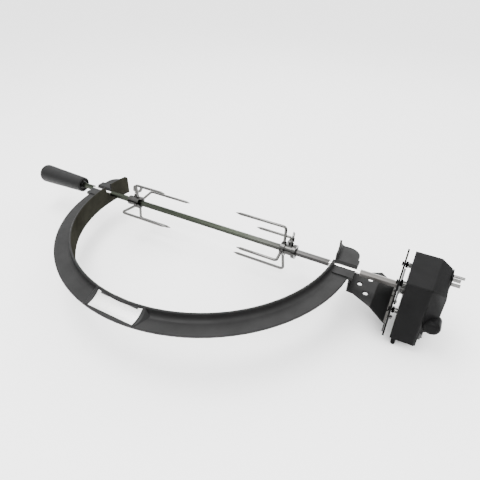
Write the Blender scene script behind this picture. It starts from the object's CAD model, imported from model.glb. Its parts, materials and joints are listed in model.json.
"""Looks for the kamado grill's spit-roasting kit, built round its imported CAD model."""
import json
import math

import bmesh
import bpy
from mathutils import Matrix, Vector


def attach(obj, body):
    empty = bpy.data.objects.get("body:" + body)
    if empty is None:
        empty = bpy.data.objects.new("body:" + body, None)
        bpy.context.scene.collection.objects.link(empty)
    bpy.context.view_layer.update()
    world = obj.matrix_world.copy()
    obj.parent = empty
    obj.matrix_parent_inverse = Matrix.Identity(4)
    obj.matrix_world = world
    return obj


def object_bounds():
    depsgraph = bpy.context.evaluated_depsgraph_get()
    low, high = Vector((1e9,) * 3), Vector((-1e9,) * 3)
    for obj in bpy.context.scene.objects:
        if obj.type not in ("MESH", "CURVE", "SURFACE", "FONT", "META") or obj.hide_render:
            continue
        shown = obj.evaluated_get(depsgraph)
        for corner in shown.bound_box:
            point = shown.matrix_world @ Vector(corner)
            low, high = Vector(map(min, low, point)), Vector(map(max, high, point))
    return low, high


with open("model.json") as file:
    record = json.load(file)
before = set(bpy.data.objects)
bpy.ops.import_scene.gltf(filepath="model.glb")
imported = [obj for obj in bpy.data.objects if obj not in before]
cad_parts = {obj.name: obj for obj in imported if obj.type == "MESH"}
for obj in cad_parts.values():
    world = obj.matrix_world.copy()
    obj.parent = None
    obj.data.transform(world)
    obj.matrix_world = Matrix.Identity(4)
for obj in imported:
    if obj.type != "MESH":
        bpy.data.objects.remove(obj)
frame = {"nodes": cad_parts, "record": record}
CAD_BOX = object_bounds()
NODES = frame["nodes"]
MM = 0.001
FACING = 0.5                            # a face looks a way if this much of its normal does

# Camera: where a photographer would stand, above and to the right of the front.
CAMERA_AT = (0.36046, -0.57508, 0.45711)
CAMERA_PITCH = math.radians(33.88)      # below the horizon
CAMERA_YAW = math.radians(29.24)        # left of straight ahead
LENS = 31.29
SENSOR = 36
SHIFT = (0.0321, -0.0351)

FLOOR_Z = CAD_BOX[0][2] - 0.5 * MM
FLOOR_SIZE = 30
SKY = ((0.0, 0.16), (0.2, 0.26), (0.5, 0.75), (0.8, 1.0))   # ray's height, share of full light
SKY_STRENGTH = 3.6
LAMPS = (                               # name, place, aim, width and height, watts
    ("Key", (-0.35, -0.25, 1.7), (0.05, -0.1, 0), (1.5, 0.45), 34),
    ("Edge", (0.5, -1.05, 1.16), (0.4, -0.05, 0.05), (0.8, 0.25), 14),
    ("Back", (0.2, 1.5, 1.2), (0, 0, 0), (2.2, 0.6), 12),
)

# Places and sizes taken from the CAD part.
FORKS = {                               # X of the arms, and which way the prongs point
    "left_fork": (-169 * MM, 1),
    "right_fork": (160.5 * MM, -1),
}
ARMS = 4
FORK_TILT = math.radians(-5.5)          # of the four arms about the bar, at rest
HUB_RING_R = 12.6 * MM                  # the ring that the arms are welded to
WIRE_R = 2.7 * MM
WALL_IN_R = 252.4 * MM                  # inside of the half ring's wall
NECK = (245 * MM, 298 * MM)             # the spit's round neck in each saddle, from the middle
LEDGE_FROM_X = 353 * MM                 # the bracket's light strip lies right of here
LEDGE_Z = -42 * MM                      # its top
RIVET_AT = (354.8 * MM, 19.5 * MM)      # X, and Y on both sides

# Looks only.
CLEANER = (60 * MM, 190 * MM)           # where the bar turns from oiled to clean
RIVET_R = 1.8 * MM
RIVET_H = 0.9 * MM
WELD_R = 4.3 * MM
WELD_H = 3.4 * MM
WELD_SUNK = 0.9 * MM                    # of its height, inside the hub's ring
WELD_TIP = 1.02                         # its narrow end, as a share of the wire's radius
WELD_LUMPS = 5                          # round the bead
WELD_LUMP = 0.10                        # their height, as a share of the bead's radius
WELD_LUMPS_FROM = 37.8                  # the turn at which they start, in radians
WELD_HOLLOW = 0.22                      # how far the bead's side curves in

# Edges. A bevel or a crease changes how a carried-over node is drawn, and none of its points.
COVER_EDGE_R = 2.4 * MM
COVER_CREASE = math.radians(14)
COVER_RIM_X = 370.6 * MM                # the rim lies left of here
COVER_FACE_X = 423 * MM                 # the right face lies right of here
INLET_CORNER = (10 * MM, 5 * MM)        # the inlet's hole lies above and behind this Y and Z
STEP_CORNER = (407.5 * MM, -39 * MM)    # the step lies right of and below this X and Z
LOBE_AT = (420.5 * MM, -24 * MM)        # X and Z of the lobe's axis
LOBE_REACH = 15 * MM
LOBE_BACK_Y = -25 * MM
ONE_POINT = 0.005 * MM                  # points nearer than this are one point
CREASE = math.radians(28)               # an edge sharper than this is a crease
WIRE_CREASE = math.radians(60)
FLAT = math.radians(0.5)                # an edge flatter than this lies inside a flat face
ROUNDED = {                             # width of the bevel on each node's sharp edges, in mm
    "ring_frame": 0.5, "front_plate": 0.25, "motor_bracket": 0.4, "heat_shield": 0.3,
    "inlet_body": 0.5, "inlet_blade_front": 0.3, "inlet_blade_back": 0.3, "inlet_earth_pin": 0.5,
    "switch_bezel": 0.4, "switch_rocker": 0.3, "drive_socket": 0.4,
    "spit_bar": 0.35, "handle_ferrule": 0.3, "left_hub": 0.4, "right_hub": 0.4,
    "left_wing_screw": 0.3, "right_wing_screw": 0.3,
}


# ---------------------------------------------------------------- camera, floor and lights

def add_camera():
    """The scene's camera, level from side to side."""
    data = bpy.data.cameras.new("Camera")
    data.lens = LENS
    data.sensor_width = SENSOR
    data.shift_x, data.shift_y = SHIFT
    camera = bpy.data.objects.new("Camera", data)
    camera.location = CAMERA_AT
    camera.rotation_euler = (math.pi / 2 - CAMERA_PITCH, 0, CAMERA_YAW)
    bpy.context.scene.collection.objects.link(camera)
    bpy.context.scene.camera = camera


def add_area(name, at, aim, size, watts):
    """A soft box that points at a place."""
    data = bpy.data.lights.new(name, "AREA")
    data.shape = "RECTANGLE"
    data.size, data.size_y = size
    data.energy = watts
    lamp = bpy.data.objects.new(name, data)
    lamp.location = at
    lamp.rotation_euler = (Vector(aim) - Vector(at)).to_track_quat("-Z", "Y").to_euler()
    bpy.context.scene.collection.objects.link(lamp)


def add_studio():
    """A sky that is dark low down, three soft boxes and a floor of pale paper."""
    world = bpy.data.worlds.new("Studio")
    world.use_nodes = True
    tree = world.node_tree
    sky = tree.nodes["Background"]
    sky.inputs["Strength"].default_value = SKY_STRENGTH
    where = tree.nodes.new("ShaderNodeTexCoord")
    split = tree.nodes.new("ShaderNodeSeparateXYZ")
    tree.links.new(where.outputs["Generated"], split.inputs["Vector"])
    link_ramp(tree, split.outputs["Z"], sky.inputs["Color"], SKY)
    bpy.context.scene.world = world
    for lamp in LAMPS:
        add_area(*lamp)
    bpy.ops.mesh.primitive_plane_add(size=FLOOR_SIZE, location=(0, 0, FLOOR_Z))
    floor = bpy.context.object
    floor.name = "Floor"
    floor.data.materials.append(floor_material())


# ---------------------------------------------------------------- material tools

def grey(value):
    """A colour with the same value in all three channels."""
    return (value, value, value)


def new_material(name, roughness=0.5, metallic=0.0, gloss=0.5):
    """A material with one Principled shader: the material, its node tree and the shader."""
    made = bpy.data.materials.new(name)
    made.use_nodes = True
    shader = made.node_tree.nodes["Principled BSDF"]
    shader.inputs["Roughness"].default_value = roughness
    shader.inputs["Metallic"].default_value = metallic
    shader.inputs["Specular IOR Level"].default_value = gloss
    return made, made.node_tree, shader


def floor_material():
    made, tree, shader = new_material("floor_paper", roughness=0.9, gloss=0.2)
    grain = noise(tree, 900, detail=2)
    link_ramp(tree, grain, shader.inputs["Base Color"], [(0.3, 0.93), (0.7, 0.95)])
    return made


def noise(tree, scale, detail=3, roughness=0.5, stretch=(1, 1, 1)):
    """A noise texture in the object's own coordinates, drawn out along each axis by stretch."""
    nodes, links = tree.nodes, tree.links
    where = nodes.new("ShaderNodeTexCoord")
    mapping = nodes.new("ShaderNodeMapping")
    mapping.inputs["Scale"].default_value = [1 / s for s in stretch]
    links.new(where.outputs["Object"], mapping.inputs["Vector"])
    made = nodes.new("ShaderNodeTexNoise")
    made.inputs["Scale"].default_value = scale
    made.inputs["Detail"].default_value = detail
    made.inputs["Roughness"].default_value = roughness
    links.new(mapping.outputs["Vector"], made.inputs["Vector"])
    return made.outputs["Fac"]


def link_ramp(tree, source, target, stops):
    """Send a value through a ramp of (position, colour or grey) stops, and to a target if any."""
    ramp = tree.nodes.new("ShaderNodeValToRGB")
    elements = ramp.color_ramp.elements
    while len(elements) < len(stops):
        elements.new(0.5)
    for element, (position, colour) in zip(elements, stops):
        element.position = position
        element.color = (*(colour if isinstance(colour, tuple) else grey(colour)), 1)
    tree.links.new(source, ramp.inputs["Fac"])
    if target is not None:
        tree.links.new(ramp.outputs["Color"], target)
    return ramp.outputs["Color"]


def add_bump(tree, shader, height, distance, strength):
    bump = tree.nodes.new("ShaderNodeBump")
    bump.inputs["Distance"].default_value = distance
    bump.inputs["Strength"].default_value = strength
    tree.links.new(height, bump.inputs["Height"])
    tree.links.new(bump.outputs["Normal"], shader.inputs["Normal"])


def math_node(tree, operation, source, value=0):
    """One sum on a value; an operation on one number leaves the second unused."""
    made = tree.nodes.new("ShaderNodeMath")
    made.operation = operation
    tree.links.new(source, made.inputs[0])
    made.inputs[1].default_value = value
    return made.outputs["Value"]


def object_axis(tree, axis):
    """One of the object's own coordinates, in metres."""
    where = tree.nodes.new("ShaderNodeTexCoord")
    split = tree.nodes.new("ShaderNodeSeparateXYZ")
    tree.links.new(where.outputs["Object"], split.inputs["Vector"])
    return split.outputs[axis]


def mix_colours(tree, factor, first, second):
    """The first colour where the factor is 0 and the second where it is 1."""
    made = tree.nodes.new("ShaderNodeMix")
    made.data_type = "RGBA"
    tree.links.new(factor, made.inputs["Factor"])
    tree.links.new(first, made.inputs["A"])
    tree.links.new(second, made.inputs["B"])
    return made.outputs["Result"]


# ---------------------------------------------------------------- materials

def black_coat(name, dark, light, gloss, roughness, peel=0.08 * MM):
    """Matt powder coat with a fine orange peel and faint cloudy wear."""
    made, tree, shader = new_material(name, roughness, gloss=gloss)
    link_ramp(tree, noise(tree, 16, 5, 0.65), shader.inputs["Base Color"],
              [(0.3, dark), (0.72, light)])
    link_ramp(tree, noise(tree, 60, 4, 0.6), shader.inputs["Roughness"],
              [(0.3, roughness * 0.85), (0.7, roughness * 1.15)])
    add_bump(tree, shader, noise(tree, 1300), peel, 0.5)
    return made


def soot(name):
    """Heat-browned, sooty face of the ring towards the fire, with no gloss left."""
    made, tree, shader = new_material(name, roughness=0.9, gloss=0)
    link_ramp(tree, noise(tree, 14, 5, 0.65), shader.inputs["Base Color"],
              [(0.3, (0.011, 0.0108, 0.0085)), (0.72, (0.024, 0.0235, 0.0185))])
    add_bump(tree, shader, noise(tree, 900, 4, 0.6), 0.12 * MM, 0.4)
    return made


def steel(name, colour, roughness, grain, grain_scale=700, depth=0.02 * MM):
    """Bare or plated steel; grain stretches its fine lines along an axis."""
    made, tree, shader = new_material(name, roughness, 1.0)
    lines = noise(tree, grain_scale, 4, 0.65, grain)
    dark = tuple(c * 0.72 for c in colour)
    link_ramp(tree, lines, shader.inputs["Base Color"], [(0.32, dark), (0.68, colour)])
    link_ramp(tree, noise(tree, 40, 4, 0.6), shader.inputs["Roughness"],
              [(0.3, roughness * 0.75), (0.75, roughness * 1.35)])
    add_bump(tree, shader, lines, depth, 0.4)
    return made


def bar_steel():
    """Drawn bar: oiled over the fire, cleaner towards the motor, with bright turned necks."""
    made, tree, shader = new_material("drawn_bar", roughness=0.3, metallic=1.0)
    lines = noise(tree, 500, 4, 0.65, (60, 1, 1))
    along = object_axis(tree, "X")
    used = link_ramp(tree, lines, None,
                     [(0.32, (0.015, 0.018, 0.013)), (0.68, (0.033, 0.037, 0.029))])
    clean = link_ramp(tree, lines, None,
                      [(0.32, (0.025, 0.0245, 0.024)), (0.68, (0.046, 0.045, 0.044))])
    outside = link_ramp(tree, lines, None,
                        [(0.32, (0.070, 0.067, 0.064)), (0.68, (0.115, 0.110, 0.106))])
    bright = link_ramp(tree, lines, None,
                       [(0.3, (0.78, 0.77, 0.75)), (0.7, (0.86, 0.85, 0.83))])
    cleaner = tree.nodes.new("ShaderNodeMapRange")
    cleaner.inputs["From Min"].default_value = CLEANER[0]
    cleaner.inputs["From Max"].default_value = CLEANER[1]
    tree.links.new(along, cleaner.inputs["Value"])
    inside = mix_colours(tree, cleaner.outputs["Result"], used, clean)
    past_ring = math_node(tree, "GREATER_THAN", along, NECK[1])
    body = mix_colours(tree, past_ring, inside, outside)
    from_middle = math_node(tree, "ABSOLUTE", along)
    past_neck = math_node(tree, "SUBTRACT", from_middle, sum(NECK) / 2)
    from_neck = math_node(tree, "ABSOLUTE", past_neck)
    off_neck = math_node(tree, "GREATER_THAN", from_neck, (NECK[1] - NECK[0]) / 2)
    tree.links.new(mix_colours(tree, off_neck, bright, body), shader.inputs["Base Color"])
    link_ramp(tree, noise(tree, 30, 5, 0.65, (3, 1, 1)), shader.inputs["Roughness"],
              [(0.3, 0.22), (0.7, 0.42)])
    add_bump(tree, shader, lines, 0.02 * MM, 0.4)
    return made


def plastic(name, colour, roughness, pit_scale, depth, gloss=0.2):
    """Moulded plastic or rubber with fine pits and a faint bloom."""
    made, tree, shader = new_material(name, roughness, gloss=gloss)
    light = tuple(c * 1.5 for c in colour)
    link_ramp(tree, noise(tree, 25, 5, 0.65), shader.inputs["Base Color"],
              [(0.3, colour), (0.75, light)])
    link_ramp(tree, noise(tree, 80), shader.inputs["Roughness"],
              [(0.3, roughness * 0.88), (0.7, roughness * 1.12)])
    add_bump(tree, shader, noise(tree, pit_scale), depth, 0.6)
    return made


def make_finishes():
    """One finish for each material slot of the record."""
    return {
        "black_coat": black_coat("bracket_coat", grey(0.0055), grey(0.010), 0.11, 0.42),
        "black_bolt": plastic("black_oxide", grey(0.003), 0.4, 900, 0.05 * MM, 0.05),
        "plate_steel": steel("brushed_plate", (0.8, 0.8, 0.79), 0.4, (3, 1, 1), 1100, 0.03 * MM),
        "clip_plastic": plastic("clip_nylon", grey(0.01), 0.5, 900, 0.05 * MM),
        "zinc_fastener": steel("zinc_fasteners", grey(0.16), 0.3, (1, 1, 1)),
        "zinc_plate": steel("zinc_sheet", grey(0.14), 0.42, (1, 1, 3)),
        "rubber": plastic("black_rubber", grey(0.003), 0.85, 600, 0.1 * MM, 0.05),
        "bright_steel": steel("turned_steel", (0.052, 0.0515, 0.05), 0.14, (1, 8, 8)),
        "housing_plastic": plastic("housing_moulding", (0.0046, 0.0046, 0.0047), 0.34, 1100,
                                   0.08 * MM, 0.026),
        "switch_plastic": plastic("switch_moulding", grey(0.02), 0.3, 700, 0.03 * MM, 0.4),
        "brass": steel("inlet_prongs", (0.15, 0.149, 0.145), 0.25, (6, 1, 1)),
        "spit_steel": bar_steel(),
        "grip_plastic": plastic("grip_phenolic", (0.006, 0.006, 0.0061), 0.46, 500,
                                0.15 * MM, 0.12),
        "fork_steel": steel("plated_wire", (0.105, 0.104, 0.100), 0.16, (1, 1, 1)),
    }


def dress_nodes(finishes):
    """Give every node its slot's finish, then the few that the photograph shows otherwise."""
    for part in frame["record"]["subparts"]:
        node = NODES[part["node"]]
        node.data.materials.clear()
        node.data.materials.append(finishes[part["material_slot"]])
    for hub in ("left_hub", "right_hub"):
        NODES[hub].data.materials[0] = finishes["bright_steel"]
    NODES["heat_shield"].data.materials[0] = black_coat(
        "shield_coat", grey(0.002), grey(0.004), 0.03, 0.55)
    ring = NODES["ring_frame"].data
    ring.materials[0] = black_coat("ring_coat", grey(0.0085), grey(0.0145), 0.12, 0.48, 0.12 * MM)
    ring.materials.append(soot("ring_soot"))
    for face in ring.polygons:
        towards_fire = -face.center.xy.normalized().dot(face.normal.xy)
        if towards_fire > FACING and face.center.xy.length < WALL_IN_R + MM:
            face.material_index = 1
    bracket = NODES["motor_bracket"].data
    bracket.materials.append(black_coat("ledge_coat", (0.034, 0.032, 0.030), (0.06, 0.057, 0.053),
                                        0.3, 0.5))
    for face in bracket.polygons:
        if face.center.x > LEDGE_FROM_X and face.normal.z > FACING:
            face.material_index = 1


# ---------------------------------------------------------------- shapes

def join_triangles(node):
    """Shade a carried-over node's split triangles as one smooth surface."""
    mesh = node.data
    if "custom_normal" in mesh.attributes:
        mesh.attributes.remove(mesh.attributes["custom_normal"])
    mesh.shade_smooth()
    weld = node.modifiers.new("Weld", "WELD")
    weld.merge_threshold = ONE_POINT


def round_wire(node):
    """Shade a bent wire as round, with a crease only where its point and its ends begin."""
    join_triangles(node)
    split = node.modifiers.new("Creases", "EDGE_SPLIT")
    split.split_angle = WIRE_CREASE


def soften(node, width, segments=2):
    """Bevel a carried-over node's sharp edges by a width, and return the bevel."""
    join_triangles(node)
    flats = node.modifiers.new("Flats", "DECIMATE")
    flats.decimate_type = "DISSOLVE"
    flats.angle_limit = FLAT
    bevel = node.modifiers.new("Edges", "BEVEL")
    bevel.width = width
    bevel.segments = segments
    bevel.limit_method = "ANGLE"
    bevel.angle_limit = CREASE
    node.modifiers.new("Shading", "WEIGHTED_NORMAL").keep_sharp = True
    return bevel


def stays_square(edge, points):
    """True for an edge of the housing's inside, rim, step, lobe or inlet hole."""
    on_rim = all(p.x < COVER_RIM_X for p in points)
    by_inlet = all(p.x > COVER_FACE_X and p.y > INLET_CORNER[0] and p.z > INLET_CORNER[1]
                   for p in points)
    by_step = any(p.x > STEP_CORNER[0] and p.z < STEP_CORNER[1] for p in points)
    by_lobe = any(math.hypot(p.x - LOBE_AT[0], p.z - LOBE_AT[1]) < LOBE_REACH
                  and p.y < LOBE_BACK_Y for p in points)
    return not edge.is_convex or on_rim or by_inlet or by_step or by_lobe


def edge_key(ends):
    """The same key for every copy of an edge, whichever way round it runs."""
    return frozenset(tuple(round(c / ONE_POINT) for c in end) for end in ends)


def soften_cover():
    """Round the moulded housing's outer edges by weight; an angle alone would take the rest too."""
    cover = NODES["motor_cover"]
    bm = bmesh.new()
    bm.from_mesh(cover.data)
    bmesh.ops.remove_doubles(bm, verts=bm.verts, dist=ONE_POINT)
    chosen, square = set(), set()
    for edge in bm.edges:
        if len(edge.link_faces) == 2 and edge.calc_face_angle(0) >= COVER_CREASE:
            points = [cover.matrix_world @ v.co for v in edge.verts]
            kept = square if stays_square(edge, points) else chosen
            kept.add(edge_key(v.co for v in edge.verts))
    bm.free()
    mesh = cover.data
    weights = mesh.attributes.new("bevel_weight_edge", "FLOAT", "EDGE")
    for edge in mesh.edges:
        key = edge_key(mesh.vertices[i].co for i in edge.vertices)
        weights.data[edge.index].value = float(key in chosen)
        edge.use_edge_sharp = key in square
    bevel = soften(cover, COVER_EDGE_R, 3)
    bevel.limit_method = "WEIGHT"
    bevel.use_clamp_overlap = False


def smooth(mesh):
    """Smooth shading, with a crease at each sharp edge."""
    mesh.shade_smooth()
    mesh.set_sharp_from_angle(angle=CREASE)


def add_piece(name, bm, finish, body):
    """Make a visual piece that rides on a body of the frame."""
    mesh = bpy.data.meshes.new(name)
    bm.to_mesh(mesh)
    bm.free()
    smooth(mesh)
    made = bpy.data.objects.new(name, mesh)
    bpy.context.scene.collection.objects.link(made)
    mesh.materials.append(finish)
    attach(made, body)


def weld_bead():
    """A rough fillet round the root of one arm, with the arm's axis along Z."""
    bm = bmesh.new()
    bmesh.ops.create_cone(bm, cap_ends=True, segments=14, radius1=WELD_R,
                          radius2=WIRE_R * WELD_TIP, depth=WELD_H)
    sides = [e for e in bm.edges if abs(e.verts[0].co.z - e.verts[1].co.z) > WELD_H / 2]
    bmesh.ops.subdivide_edges(bm, edges=sides, cuts=2, use_grid_fill=True)
    for vert in bm.verts:
        turn = math.atan2(vert.co.y, vert.co.x)
        level = 0.5 - vert.co.z / WELD_H
        lump = WELD_LUMP * level * math.sin(WELD_LUMPS * turn + WELD_LUMPS_FROM)
        swell = 1 + lump - WELD_HOLLOW * level * (1 - level)
        vert.co.x *= swell
        vert.co.y *= swell
    bm.transform(Matrix.Translation((0, 0, HUB_RING_R + WELD_H / 2 - WELD_SUNK)))
    return bm


def add_welds(finish):
    """A bead at the root of each arm of both forks."""
    for body, (x, way) in FORKS.items():
        for i in range(ARMS):
            bm = weld_bead()
            turn = Matrix.Rotation(way * (i * math.tau / ARMS - FORK_TILT), 4, "X")
            bm.transform(Matrix.Translation((x, 0, 0)) @ turn)
            add_piece("{}_weld_{}".format(body, i + 1), bm, finish, body)


def rivet():
    """A domed head standing on Z = 0."""
    bm = bmesh.new()
    bmesh.ops.create_uvsphere(bm, u_segments=16, v_segments=8, radius=RIVET_R)
    bmesh.ops.bisect_plane(bm, geom=list(bm.verts) + list(bm.edges) + list(bm.faces),
                           plane_co=(0, 0, 0), plane_no=(0, 0, -1), clear_outer=True)
    for vert in bm.verts:
        vert.co.z *= RIVET_H / RIVET_R
    return bm


def add_rivets(finish):
    """Two rivet heads on the bracket's light strip."""
    x, y_out = RIVET_AT
    for i, y in enumerate((-y_out, y_out)):
        bm = rivet()
        bm.transform(Matrix.Translation((x, y, LEDGE_Z)))
        add_piece("ledge_rivet_{}".format(i + 1), bm, finish, "frame")


add_camera()
add_studio()
FINISHES = make_finishes()
dress_nodes(FINISHES)
add_welds(FINISHES["bright_steel"])
add_rivets(FINISHES["black_bolt"])
for name, node in NODES.items():
    if name in ROUNDED:
        soften(node, ROUNDED[name] * MM)
    elif "_tine_" in name:
        round_wire(node)
    elif node.type == "MESH" and name != "motor_cover":
        smooth(node.data)
soften_cover()
